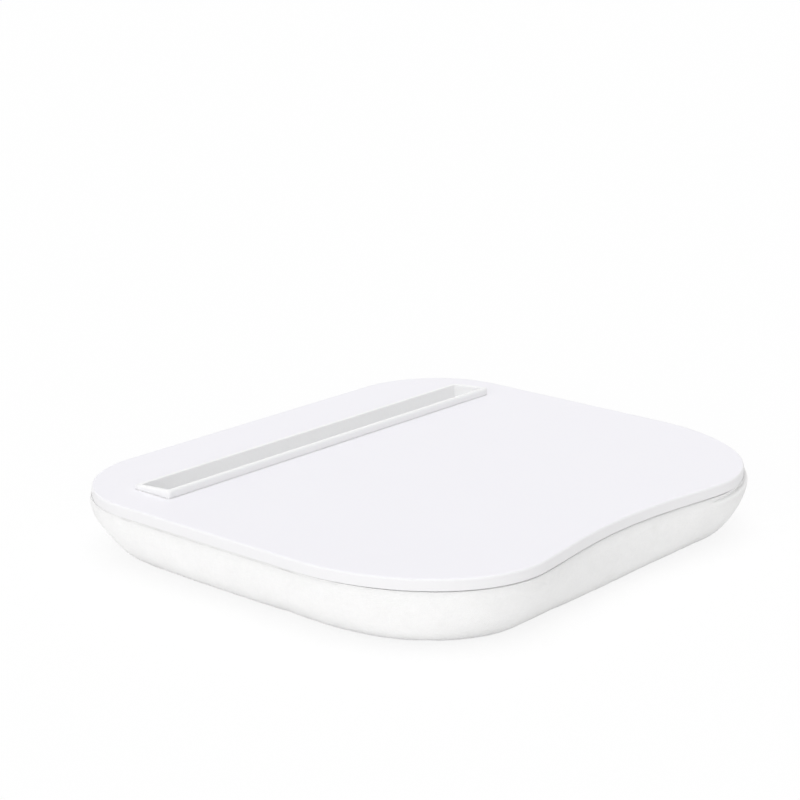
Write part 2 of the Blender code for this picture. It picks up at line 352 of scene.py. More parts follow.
@dataclass(frozen=True)
class MouldedPlastic(Finish):
    """Injection-moulded plastic: a fine spark-eroded grain, and ejector marks on the floor.

    Attributes:
        mark_middle: The ejector marks' place from front to back.
        mark_top: The height below which they show.
        flow_size: The width of the streaks in which the plastic flowed.
        flow_shares: A share of less than 1 along an axis draws them out along it.
    """

    mark_middle: float = 0.0
    mark_top: float = 0.0
    mark_pitch: float = 62 * MM
    mark_radius: float = 2.6 * MM
    mark_edge: float = 0.25 * MM
    mark_depth: float = 0.05 * MM
    grain_size: float = 0.3 * MM
    grain_depth: float = 0.004 * MM
    flow_size: float = 30 * MM
    flow_shares: tuple[float, float, float] = (0.25, 1.0, 1.0)
    flow_haze: float = 0.06
    flow_tint: float = 0.006

    def marks(self, graph: Graph) -> Wire:
        """Draws the ejector marks.

        Args:
            graph: The material's graph.

        Returns:
            1 inside them, and 0 elsewhere.
        """
        x, y, z = graph.parts(graph.place())
        along = graph.math("PINGPONG", x, self.mark_pitch / 2)
        aside = y - self.mark_middle
        far = graph.math("SQRT", along * along + aside * aside)
        within = 1 - graph.step(far, self.mark_radius, self.mark_radius + self.mark_edge)
        return within * graph.math("LESS_THAN", z, self.mark_top)

    def skin(self, graph: Graph) -> Skin:
        """Builds the plastic's nodes.

        Args:
            graph: The material's graph.

        Returns:
            What the shader takes.
        """
        place = graph.place()
        grain = graph.noise(place, self.grain_size, roughness=0.6)
        flow = graph.noise(graph.stretched(place, self.flow_shares), self.flow_size)
        return Skin(self.mottled(graph, flow, self.flow_tint, self.flow_tint),
                    self.hazed(flow, self.flow_haze),
                    grain * self.grain_depth - self.marks(graph) * self.mark_depth, {"IOR": 1.5})


@dataclass(frozen=True)
class BrushedKnit(Finish):
    """Soft brushed knit: rows of stitches under a short nap that lies in patches.

    Attributes:
        wale_pitch: The distance between the knit's ribs.
        course_pitch: The distance between its rows.
        nap_share: How much the nap counts in the mottling, beside the tufts and the patches.
        patch_size: The width of the patches in which the nap lies one way.
        mottle: How much darker or lighter the cloth gets.
        dark_below: The mottling's value that gives the darkest cloth.
        light_above: The value that gives the lightest.
        painted_seam_shade: Painted shade: how much darker the cloth's colour is made at the board's
            edge, standing in for the shade under that edge.
        painted_seam_reach: How far below the edge that painted shade has mostly faded.
    """

    wale_pitch: float = 1.1 * MM
    wale_depth: float = 0.022 * MM
    course_pitch: float = 1.5 * MM
    course_depth: float = 0.008 * MM
    nap_size: float = 0.7 * MM
    nap_depth: float = 0.11 * MM
    nap_share: float = 0.45
    tuft_size: float = 2.6 * MM
    tuft_depth: float = 0.10 * MM
    tuft_share: float = 0.3
    patch_size: float = 14 * MM
    patch_share: float = 0.25
    patch_haze: float = 0.05
    mottle: float = 0.022
    dark_below: float = 0.34
    light_above: float = 0.66
    painted_seam_shade: float = 0.12
    painted_seam_reach: float = 2.2 * MM

    def skin(self, graph: Graph) -> Skin:
        """Builds the knit's nodes.

        Args:
            graph: The material's graph.

        Returns:
            What the shader takes.
        """
        place = graph.place()
        across, along, _ = graph.parts(graph.stored(Attribute.CLOTH))
        nap = graph.noise(place, self.nap_size, detail=4.0, roughness=0.65)
        tufts = graph.noise(place, self.tuft_size, detail=3.0, roughness=0.6)
        patches = graph.noise(place, self.patch_size, detail=3.0, roughness=0.55)
        drift = (tufts - 0.5) * self.wale_pitch
        wales = graph.waves(across + drift, self.wale_pitch)
        courses = graph.waves(along + drift, self.course_pitch)
        pattern = nap * self.nap_share + tufts * self.tuft_share + patches * self.patch_share
        shade = graph.step(pattern, self.dark_below, self.light_above)
        # Painted shade: the colour darkens towards the board's edge, standing in for the shade that
        # the edge casts on the cloth.
        below_edge = graph.parts(graph.stored(Attribute.RIM))[2]
        painted_shade_share = graph.math("EXPONENT", below_edge * (-1 / self.painted_seam_reach))
        colour = graph.blend(painted_shade_share, self.mottled(graph, shade, self.mottle, self.mottle),
                             self.tinted(-self.painted_seam_shade))
        relief = nap * self.nap_depth + tufts * self.tuft_depth
        relief = relief + wales * self.wale_depth + courses * self.course_depth
        return Skin(colour, self.hazed(patches, self.patch_haze), relief,
                    {"Specular IOR Level": 0.2, "Sheen Weight": 0.12, "Sheen Roughness": 0.5})


@dataclass(frozen=True)
class PlainWeave(Finish):
    """Thin woven cloth: threads over and under each other.

    Attributes:
        thread_share: How much the threads count in the mottling, beside the slubs.
        slub_size: The width of the slubs, which are thicker places in the threads.
        slub_shares: A share of less than 1 along an axis draws them out along it.
        dark_below: The mottling's value that gives the darkest cloth.
        light_above: The value that gives the lightest.
        bead_size: The width of the beads behind the cloth.
        bead_depth: How far they press through it, 0 where there are none.
    """

    pitch: float = 0.5 * MM
    depth: float = 0.05 * MM
    thread_share: float = 0.15
    slub_size: float = 9 * MM
    slub_shares: tuple[float, float, float] = (1.0, 0.12, 1.0)
    darker: float = 0.03
    lighter: float = 0.02
    dark_below: float = 0.3
    light_above: float = 0.75
    bead_size: float = 3.2 * MM
    bead_depth: float = 0.0

    def skin(self, graph: Graph) -> Skin:
        """Builds the weave's nodes.

        Args:
            graph: The material's graph.

        Returns:
            What the shader takes.
        """
        place = graph.place()
        x, y, z = graph.parts(place)
        crossing = graph.waves(x + z, 2 * self.pitch) * graph.waves(y + z, 2 * self.pitch)
        slubs = graph.noise(graph.stretched(place, self.slub_shares), self.slub_size, detail=3.0)
        pattern = crossing * self.thread_share + slubs
        shade = graph.step(pattern, self.dark_below, self.light_above)
        relief = crossing * self.depth - graph.cells(place, self.bead_size) * self.bead_depth
        return Skin(self.mottled(graph, shade, self.darker, self.lighter), self.roughness, relief,
                    {"Specular IOR Level": 0.2, "Sheen Weight": 0.08})


@dataclass(frozen=True)
class TapeYarn(Finish):
    """Hook and loop tape: a close ground with a rib."""

    rib_pitch: float = 0.8 * MM
    rib_depth: float = 0.03 * MM
    fuzz_size: float = 0.4 * MM
    fuzz_depth: float = 0.04 * MM
    darker: float = 0.04
    lighter: float = 0.03

    def skin(self, graph: Graph) -> Skin:
        """Builds the tape's nodes.

        Args:
            graph: The material's graph.

        Returns:
            What the shader takes.
        """
        place = graph.place()
        fuzz = graph.noise(place, self.fuzz_size, detail=3.0, roughness=0.6)
        ribs = graph.waves(graph.parts(place)[0], self.rib_pitch)
        return Skin(self.mottled(graph, fuzz, self.darker, self.lighter), self.roughness,
                    ribs * self.rib_depth + fuzz * self.fuzz_depth, {"Specular IOR Level": 0.3})


# Outlines


def distances(points: Points) -> np.ndarray:
    """How far along an open line each of its points lies."""
    return np.concatenate([[0], np.cumsum(np.linalg.norm(np.diff(points, axis=0), axis=1))])


def points_along(points: Points, wanted: np.ndarray) -> Points:
    """The points that lie at the wanted distances along a flat open line."""
    along = distances(points)
    return np.stack([np.interp(wanted, along, points[:, axis]) for axis in (0, 1)], 1)


def evenly_round(points: Points, count: int) -> Points:
    """A closed flat line with its points spread evenly."""
    closed = np.vstack([points, points[:1]])
    return points_along(closed, np.linspace(0, distances(closed)[-1], count, endpoint=False))


def evenly_along(points: Points, spacing: float) -> Points:
    """An open flat line with its points about a spacing apart, and its first point left out."""
    length = distances(points)[-1]
    return points_along(points, np.linspace(0, length, round(length / spacing) + 1)[1:])


def outward(points: Points) -> Points:
    """Directions square to a closed anticlockwise line, pointing out of it."""
    along = np.roll(points, -1, 0) - np.roll(points, 1, 0)
    return np.stack([along[:, 1], -along[:, 0]], 1) / np.linalg.norm(along, axis=1, keepdims=True)


def grown(points: Points, outset: float) -> Points:
    """A closed line moved outwards, or inwards if outset is negative."""
    return points + outward(points) * outset


def level(points: Points, height: float | np.ndarray) -> Points:
    """Gives flat points a height."""
    return np.column_stack([points, np.broadcast_to(height, len(points))])


def arc(centre: Sequence[float], radii: Sequence[float], turns: Sequence[float],
        steps: int) -> Points:
    """Points on an arc of an ellipse, both ends included.

    Args:
        centre: Its middle.
        radii: Its radii along X and Y.
        turns: Where it starts and ends, in quarter turns.
        steps: How many steps it has.

    Returns:
        The flat points.
    """
    angles = np.linspace(turns[0], turns[1], steps + 1) * QUARTER_TURN
    return np.column_stack([centre[0] + radii[0] * np.cos(angles),
                            centre[1] + radii[1] * np.sin(angles)])


def rounded_rectangle(length: float, depth: float, radius: float, steps: int) -> Points:
    """A rectangle with round corners, centred on the origin.

    Args:
        length: Its length along X.
        depth: Its length along Y.
        radius: The radius of its corners.
        steps: How many steps each corner has.

    Returns:
        Its flat points, anticlockwise.
    """
    corners = []
    for sign_x, sign_y, start in ((1, 1, 0), (-1, 1, 1), (-1, -1, 2), (1, -1, 3)):
        centre = sign_x * (length / 2 - radius), sign_y * (depth / 2 - radius)
        corners.append(arc(centre, (radius, radius), (start, start + 1), steps))
    return np.vstack(corners)


def edge_round(radius: float, steps: int) -> list[tuple[float, float]]:
    """Steps round a quarter of a circle: how far in, and how far up, from its lower end."""
    angles = [QUARTER_TURN * step / steps for step in range(steps + 1)]
    return [(radius * (1 - math.cos(angle)), radius * math.sin(angle)) for angle in angles]


def inside(points: Points, outline: Points) -> np.ndarray:
    """Says which points lie inside a closed line, by how often a level line to each crosses it.

    Args:
        points: Flat points.
        outline: The line's points.

    Returns:
        True for each point inside.
    """
    following = np.roll(outline, -1, 0)
    x, y = points[:, :1], points[:, 1:]
    straddles = (outline[:, 1] > y) != (following[:, 1] > y)
    rise = np.where(following[:, 1] == outline[:, 1], 1.0, following[:, 1] - outline[:, 1])
    crossing = outline[:, 0] + (y - outline[:, 1]) * (following[:, 0] - outline[:, 0]) / rise
    return (straddles & (x < crossing)).sum(1) % 2 == 1


def gaps_to_sides(points: Points, outline: Points) -> np.ndarray:
    """Measures how far points lie from the sides of a closed line.

    Args:
        points: Flat points.
        outline: The line's points.

    Returns:
        Each point's distance from the nearest side.
    """
    sides = np.roll(outline, -1, 0) - outline
    offsets = points[:, None] - outline
    share = np.clip((offsets * sides).sum(2) / (sides * sides).sum(1), 0, 1)
    return np.linalg.norm(offsets - share[..., None] * sides, axis=2).min(1)


def smooth_share(values: np.ndarray | float, low: float, high: float) -> np.ndarray:
    """A smooth rise from 0 at low to 1 at high."""
    share = np.clip((np.asarray(values) - low) / (high - low), 0, 1)
    return share * share * (3 - 2 * share)


def noise_at(points: Points, size: float) -> np.ndarray:
    """Smooth noise from about -1 to 1 at 3-D points, its patches about as wide as size."""
    return np.array([noise.noise(Vector(point)) for point in points / size])


# Meshes


@dataclass(frozen=True)
class Lattice:
    """Points at the corners of even triangles, which fill a flat area.

    Attributes:
        spacing: How far apart they are.
        row_share: The distance between their rows, as a share of the spacing.
        side_share: How near they may come to the sides of an outline, as such a share.
        corner_share: How near they may come to its points.
    """

    spacing: float
    row_share: float = math.sqrt(0.75)
    side_share: float = 0.3
    corner_share: float = 0.7

    def points(self, outlines: Sequence[Points]) -> Points:
        """Spreads the points.

        Args:
            outlines: The area's outer line and then any holes.

        Returns:
            Points inside the first and outside the others, clear of every line.
        """
        low, high = outlines[0].min(0), outlines[0].max(0)
        rows = []
        for row, y in enumerate(np.arange(low[1], high[1], self.spacing * self.row_share)):
            x = np.arange(low[0] + self.spacing * (row % 2) / 2, high[0], self.spacing)
            rows.append(level(x[:, None], y))
        points = np.vstack(rows)
        points = points[inside(points, outlines[0])]
        for hole in outlines[1:]:
            points = points[~inside(points, hole)]
        for outline in outlines:
            points = points[gaps_to_sides(points, outline) > self.spacing * self.side_share]
        edge = np.vstack(outlines)
        gaps = [np.linalg.norm(edge - point, axis=1).min() for point in points]
        return points[np.array(gaps) > self.spacing * self.corner_share]


class Shell:
    """The points and faces of one mesh while it is made."""

    SAME_PLACE = 1e-9  # How near two points of a fill count as one.

    def __init__(self) -> None:
        """Starts with nothing."""
        self.points = np.zeros((0, 3))
        self.faces: list[list[int]] = []

    def ring(self, points: Points) -> np.ndarray:
        """Adds points.

        Args:
            points: Points in space.

        Returns:
            Their numbers.
        """
        first = len(self.points)
        self.points = np.vstack([self.points, points])
        return np.arange(first, len(self.points))

    def loft(self, rings: Sequence[np.ndarray]) -> None:
        """Adds a skin of quads over closed rings.

        Args:
            rings: The numbers of each ring's points, all of equal count.
        """
        for lower, upper in zip(rings, rings[1:]):
            quads = np.stack([lower, np.roll(lower, -1), np.roll(upper, -1), upper], 1)
            self.faces += quads.tolist()

    def cap(self, *rings: np.ndarray) -> None:
        """Adds one face over each ring."""
        self.faces += [ring.tolist() for ring in rings]

    def fill(self, rings: Sequence[np.ndarray], spacing: float,
             height: float | Callable[[Points], np.ndarray]) -> None:
        """Fills an area with even triangles.

        Args:
            rings: The outer ring and then any holes, all of points already added.
            spacing: How far apart its inner points are.
            height: Their height, or what gives the heights of flat points.
        """
        outlines = [self.points[ring][:, :2] for ring in rings]
        flat = Lattice(spacing).points(outlines)
        inner = self.ring(level(flat, height(flat) if callable(height) else height))
        numbers = np.concatenate([*rings, inner])
        corners = np.vstack([*outlines, flat])
        edges, first = [], 0
        for ring in rings:
            count = len(ring)
            edges += [(first + step, first + (step + 1) % count) for step in range(count)]
            first += count
        *_, made, origins, _, _ = geometry.delaunay_2d_cdt(
            [Vector(corner) for corner in corners], edges, [], 2, self.SAME_PLACE)
        faces = np.array([found[0] for found in origins])[np.array(made)]
        for hole in outlines[1:]:
            faces = faces[~inside(corners[faces].mean(1), hole)]
        self.faces += numbers[faces].tolist()

    def stamp(self, other: Shell, origins: Points, axes: np.ndarray) -> None:
        """Adds copies of a small form.

        Args:
            other: The form.
            origins: Where each copy stands.
            axes: Each copy's own X, Y and Z directions.
        """
        for origin, directions in zip(origins, axes):
            first = len(self.points)
            self.ring(origin + other.points @ directions)
            self.faces += [[first + corner for corner in face] for face in other.faces]

    def piece(self, name: str, material: bpy.types.Material) -> Piece:
        """Makes the object.

        Args:
            name: The piece's name.
            material: Its finish.

        Returns:
            A smooth object with its faces pointing out.
        """
        mesh = bpy.data.meshes.new(name)
        mesh.from_pydata(self.points.tolist(), [], self.faces)
        turned = bmesh.new()
        turned.from_mesh(mesh)
        bmesh.ops.recalc_face_normals(turned, faces=turned.faces)
        turned.to_mesh(mesh)
        turned.free()
        mesh.shade_smooth()
        mesh.set_sharp_from_angle(angle=SMOOTH_ANGLE)
        mesh.materials.append(material)
        return placed(name, mesh)


def bent_rod(path: Points, radius: float, sides: int) -> Shell:
    """A thin rod along points in the XZ plane.

    Args:
        path: Its centreline, as X and Z.
        radius: Its radius.
        sides: How many sides it has.

    Returns:
        The closed form.
    """
    made = Shell()
    along = np.gradient(path, axis=0)
    along /= np.linalg.norm(along, axis=1, keepdims=True)
    angles = np.arange(sides) * (FULL_TURN / sides)
    aside, over = radius * np.cos(angles), radius * np.sin(angles)
    rings = [made.ring(np.column_stack([x - rise * over, aside, z + run * over]))
             for (x, z), (run, rise) in zip(path, along)]
    made.loft(rings)
    made.cap(rings[0], rings[-1])
    return made


def placed(name: str, data: bpy.types.ID) -> Piece:
    """Puts an object in the scene.

    Args:
        name: Its name.
        data: Its mesh, lamp or lens.

    Returns:
        The object.
    """
    made = bpy.data.objects.new(name, data)
    bpy.context.scene.collection.objects.link(made)
    return made


def modified(piece: Piece, name: str, kind: str, **settings: Any) -> bpy.types.Modifier:
    """Adds a modifier.

    Args:
        piece: The piece.
        name: The modifier's name.
        kind: Its type.
        settings: Its settings.

    Returns:
        The modifier.
    """
    made = piece.modifiers.new(name, kind)
    for setting, value in settings.items():
        setattr(made, setting, value)
    return made


def thicken(piece: Piece, thickness: float, offset: float) -> None:
    """Gives a cloth its thickness: inwards if offset is -1, and both ways if it is 0."""
    modified(piece, "cloth_thickness", "SOLIDIFY", thickness=thickness, offset=offset)


def smooth(piece: Piece) -> None:
    """Splits a soft piece's faces once and rounds them."""
    modified(piece, "smoothing", "SUBSURF", levels=1, render_levels=1)


def keep_flats_flat(piece: Piece) -> None:
    """Weights a hard piece's normals by face area, so that rounded edges don't shade its flats."""
    modified(piece, "face_weighted_normals", "WEIGHTED_NORMAL", keep_sharp=True)


def apply_modifiers(piece: Piece) -> None:
    """Replaces a piece's mesh by the one its modifiers give, and removes them.

    Args:
        piece: The piece.
    """
    evaluated = piece.evaluated_get(bpy.context.evaluated_depsgraph_get())
    mesh = bpy.data.meshes.new_from_object(evaluated)
    piece.modifiers.clear()
    piece.data = mesh


def vectors(elements: bpy.types.bpy_prop_collection, key: str) -> Points:
    """Reads a vector from each element of a mesh.

    Args:
        elements: The mesh's vertices, or the values of an attribute.
        key: The vector's name.

    Returns:
        The vectors.
    """
    values = np.zeros(len(elements) * 3, np.float32)
    elements.foreach_get(key, values)
    return values.reshape(-1, 3).astype(float)


def points_of(piece: Piece) -> Points:
    """The points of a piece's mesh."""
    return vectors(piece.data.vertices, "co")


def normals_of(piece: Piece) -> Points:
    """The directions out of a piece's mesh at its points."""
    return vectors(piece.data.vertices, "normal")


def move_points(piece: Piece, points: Points) -> None:
    """Gives a piece's mesh new places for its points."""
    piece.data.vertices.foreach_set("co", points.astype(np.float32).ravel())
    piece.data.update()


def store(piece: Piece, attribute: Attribute, values: Points) -> None:
    """Keeps a vector at each point of a piece's mesh."""
    layer = piece.data.attributes.new(attribute.value, "FLOAT_VECTOR", "POINT")
    layer.data.foreach_set("vector", values.astype(np.float32).ravel())


def stored_on(piece: Piece, attribute: Attribute) -> Points:
    """The vectors that a piece's mesh holds at its points."""
    return vectors(piece.data.attributes[attribute.value].data, "vector")


def settle(piece: Piece, slot: Slot, *nodes: str) -> None:
    """Puts a finished piece on the frame.

    Args:
        piece: The piece.
        slot: The record's slot that holds its finish; not used.
        nodes: The CAD nodes that it stands for.
    """
    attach(piece, "root")
    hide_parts(*nodes)
    LOG.info("%s: %d faces", piece.name, len(piece.data.polygons))


# The tray's plan


@dataclass(frozen=True)
class TrayPlan:
    """The tray seen from above: elliptical front corners, round back corners and a belly cut.

    Attributes:
        belly_power: How softly the belly cut starts beside the lobes.
    """

    back_width: float
    depth: float
    front_width: float = 303.0 * MM
    back_radius: float = 57.0 * MM
    front_corner_width: float = 71.5 * MM
    front_corner_depth: float = 95.0 * MM
    belly_depth: float = 8.0 * MM
    belly_power: float = 1.5
    curve_steps: int = 90

    def outline(self, count: int, belly_share: float = 1.0) -> Points:
        """The plan's line.

        Args:
            count: How many points it has, evenly spread.
            belly_share: How much of the belly cut is left, from 0 to 1.

        Returns:
            The points, anticlockwise from the right-hand side.
        """
        half_back, half_depth = self.back_width / 2, self.depth / 2
        lobe = self.front_width / 2 - self.front_corner_width
        back_centre = half_back - self.back_radius, half_depth - self.back_radius
        front_centre = lobe, self.front_corner_depth - half_depth
        front_radii = self.front_corner_width, self.front_corner_depth
        back = arc(back_centre, (self.back_radius,) * 2, (0, 1), self.curve_steps)
        front = arc(front_centre, front_radii, (-1, 0), self.curve_steps)
        across = np.linspace(-1, 1, 2 * self.curve_steps + 1)[1:-1]
        rise = self.belly_depth * belly_share * (1 - across * across) ** self.belly_power
        belly = np.column_stack([lobe * across, rise - half_depth])
        left_back, left_front = ((half * (-1, 1))[::-1] for half in (back, front))
        return evenly_round(np.vstack([back, left_back, left_front, belly, front]), count)


# Board and slot


@dataclass
class SlotInsert:
    """The moulded trough that lines the slot, its rim higher on the user's side.

    Attributes:
        low: The lowest corner of the CAD solid.
        high: Its highest corner.
        board_low: The height of the board's underside.
        board_top: The height of the board's top.
        rim_width: How far the rim's inner side lies inside its outer one.
        back_height: How far the rim stands above the board at the back.
        foot_break: How far below the board's top the flange's side ends.
        foot_tuck: How far the rim is drawn in where it meets the board.
        foot_share: The share of its height over which it comes out again.
        roll_share: The share of its height that the round of its outer edge takes.
        hook_root: How far the hooks reach into the wall.
        hook_place_shares: Their middles, as shares of the rim's length.
        mark_clearance: How far above the trough's floor its ejector marks may show.
    """

    low: Vector
    high: Vector
    board_low: float
    board_top: float
    rim_depth: float = 27.5 * MM
    rim_width: float = 3.0 * MM
    back_height: float = 2.5 * MM
    corner_radius: float = 2.0 * MM
    least_radius: float = 0.8 * MM
    corner_steps: int = 8
    edge_rounding: float = 1.1 * MM
    lip_rounding: float = 0.6 * MM
    edge_steps: int = 6
    foot_break: float = 0.1 * MM
    foot_tuck: float = 0.5 * MM
    foot_share: float = 0.32
    foot_steps: int = 3
    roll_share: float = 0.42
    wall: float = 1.5 * MM
    fillet: float = 0.8 * MM
    rebate_depth: float = 0.8 * MM
    seat_gap: float = 0.3 * MM
    foot_rounding: float = 0.3 * MM
    hook_width: float = 10.0 * MM
    hook_reach: float = 1.3 * MM
    hook_height: float = 1.3 * MM
    hook_root: float = 0.6 * MM
    hook_place_shares: tuple[float, ...] = (-0.38, 0.0, 0.38)
    floor_spacing: float = 9.0 * MM
    mark_clearance: float = 0.4 * MM

    @property
    def length(self) -> float:
        """The rim's length."""
        return self.high.x - self.low.x

    @property
    def centre_y(self) -> float:
        """The rim's middle, from front to back."""
        return (self.low.y + self.high.y) / 2

    def outline(self, inset: float) -> Points:
        """The rim's plan, or a line inside it.

        Args:
            inset: How far inside it the line lies.

        Returns:
            The line's points.
        """
        length, depth = self.length - 2 * inset, self.rim_depth - 2 * inset
        radius = max(self.corner_radius - inset, self.least_radius)
        return rounded_rectangle(length, depth, radius, self.corner_steps) + (0, self.centre_y)

    def rim_top(self, y: np.ndarray) -> np.ndarray:
        """Height of the rim's top, which falls evenly from front to back."""
        share = (y - self.centre_y + self.rim_depth / 2) / self.rim_depth
        return self.high.z + (self.board_top + self.back_height - self.high.z) * share

    def trough(self) -> Shell:
        """The trough: outside up to the rim, over its round top and down inside to the floor.

        Returns:
            The closed form.
        """
        shell = Shell()

        def ring(inset: float, height: float, share: float = 0.0) -> np.ndarray:
            """Adds a ring.

            Args:
                inset: How far inside the rim's plan it lies.
                height: Its height.
                share: How much of the rim's height above the board is added to that.

            Returns:
                The numbers of its points.
            """
            outline = self.outline(inset)
            rise = self.rim_top(outline[:, 1]) - self.board_top
            return shell.ring(level(outline, height + rise * share))

        wall_inset = self.rim_width - self.wall
        flange = self.board_top - self.rebate_depth + self.seat_gap
        floor = self.board_low + self.fillet
        edge, lip, foot, fillet = (edge_round(radius, self.edge_steps) for radius in (
            self.edge_rounding, self.lip_rounding, self.foot_rounding, self.fillet))
        rings = [ring(wall_inset + inward, self.low.z + self.foot_rounding - up)
                 for inward, up in reversed(foot)]
        rings += [ring(wall_inset, flange), ring(0, flange),
                  ring(0, self.board_top - self.foot_break)]
        for step in range(self.foot_steps + 1):
            done = step / self.foot_steps
            tuck = self.foot_tuck * (1 - done) ** 2
            rings.append(ring(tuck, self.board_top, self.foot_share * done))
        rings += [ring(inward, self.board_top, 1 - self.roll_share * (1 - up / self.edge_rounding))
                  for inward, up in edge]
        rings += [ring(self.rim_width - inward, self.board_top - self.lip_rounding + up, 1)
                  for inward, up in reversed(lip)]
        rings += [ring(self.rim_width + inward, floor - up) for inward, up in fillet]
        shell.loft(rings)
        shell.fill(rings[:1], self.floor_spacing, self.low.z)
        shell.fill(rings[-1:], self.floor_spacing, self.board_low)
        return shell

    def hooks(self) -> Shell:
        """The wedges that catch under the board, in front of and behind the trough.

        Returns:
            The wedges, which reach into the trough's walls.
        """
        shell = Shell()
        wall_y = self.rim_depth / 2 - self.rim_width + self.wall
        root = wall_y - self.hook_root
        top = self.board_low - self.seat_gap
        section = (root, top), (wall_y + self.hook_reach, top), (root, top - self.hook_height)
        for side in (-1, 1):
            for share in self.hook_place_shares:
                middle = share * self.length
                ends = [shell.ring([(x, self.centre_y + side * y, z) for y, z in section])
                        for x in (middle - self.hook_width / 2, middle + self.hook_width / 2)]
                shell.loft(ends)
                shell.cap(*ends)
        return shell

    def build(self) -> None:
        """Makes the insert: the trough with its hooks."""
        finish = MouldedPlastic("moulded_white_plastic", colour=(0.885, 0.885, 0.89),
                                roughness=0.36, mark_middle=self.centre_y,
                                mark_top=self.board_low + self.mark_clearance)
        material = finish.material()
        piece = self.trough().piece("slot_trough", material)
        wedges = self.hooks().piece("wedge_operand", material)
        modified(piece, "snap_hooks", "BOOLEAN", operation="UNION", object=wedges)
        apply_modifiers(piece)
        bpy.data.objects.remove(wedges)
        piece.data.set_sharp_from_angle(angle=SMOOTH_ANGLE)
        keep_flats_flat(piece)
        settle(piece, Slot.MOULDING, "slot_insert")


@dataclass
class DeckBoard:
    """The board, with round edges, and the slot and rebate that the insert drops into.

    Attributes:
        border: How wide the level band inside each round edge is.
        rebate_break: How far the rebate's edge is broken.
    """

    plan: TrayPlan
    insert: SlotInsert
    low: float
    top: float
    ring_points: int = 600
    top_rounding: float = 1.2 * MM
    low_rounding: float = 0.35 * MM
    rounding_steps: int = 7
    border: float = 0.5 * MM
    rebate_gap: float = 0.1 * MM
    rebate_break: float = 0.1 * MM
    spacing: float = 9.0 * MM

    def body(self) -> Shell:
        """The board's form: its side between two round edges, the slot, and its flats.

        Returns:
            The closed form.
        """
        shell = Shell()
        outline = self.plan.outline(self.ring_points)
        low_edge = edge_round(self.low_rounding, self.rounding_steps)
        top_edge = edge_round(self.top_rounding, self.rounding_steps)
        section = [(self.low_rounding + self.border, self.low)]
        section += [(inset, self.low + self.low_rounding - up) for inset, up in reversed(low_edge)]
        section += [(inset, self.top - self.top_rounding + up) for inset, up in top_edge]
        section += [(self.top_rounding + self.border, self.top)]
        side = [shell.ring(level(grown(outline, -inset), height)) for inset, height in section]

        rebate = -self.rebate_gap
        broken = rebate - self.rebate_break
        hole = self.insert.rim_width - self.insert.wall - self.insert.seat_gap
        ledge = self.top - self.insert.rebate_depth
        section = [(broken - self.border, self.top), (broken, self.top),
                   (rebate, self.top - self.rebate_break), (rebate, ledge),
                   (hole, ledge), (hole, self.low)]
        slot = [shell.ring(level(self.insert.outline(inset), height)) for inset, height in section]

        shell.loft(side)
        shell.loft(slot)
        shell.fill([side[-1], slot[0]], self.spacing, self.top)
        shell.fill([side[0], slot[-1]], self.spacing, self.low)
        return shell

    def build(self) -> None:
        """Makes the board."""
        finish = SatinLacquer("white_satin_lacquer", colour=(0.863, 0.854, 0.894), roughness=0.42)
        piece = self.body().piece("lacquered_board", finish.material())
        keep_flats_flat(piece)
        settle(piece, Slot.BOARD, "deck_board")


# Cushion


@dataclass(frozen=True)
class Settling:
    """A place on the cushion's side where the filling has settled.

    Attributes:
        place: Its middle on the plan.
        reach: How far it goes along the side.
        height: The height of its middle.
        height_reach: How far it goes up and down.
        push: How far the cloth stands out there, or in if negative.
        lift: How far the cloth rises beside the board's edge.
    """

    place: tuple[float, float]
    reach: float
    height: float
    height_reach: float
    push: float
    lift: float = 0.0

    def near(self, points: Points) -> np.ndarray:
        """How much of it each point gets, by its place on the plan."""
        return np.exp(-(np.linalg.norm(points[:, :2] - self.place, axis=1) / self.reach) ** 2)

    def shift(self, points: Points) -> np.ndarray:
        """How far it pushes each point out."""
        at = np.exp(-((points[:, 2] - self.height) / self.height_reach) ** 2)
        return self.push * self.near(points) * at


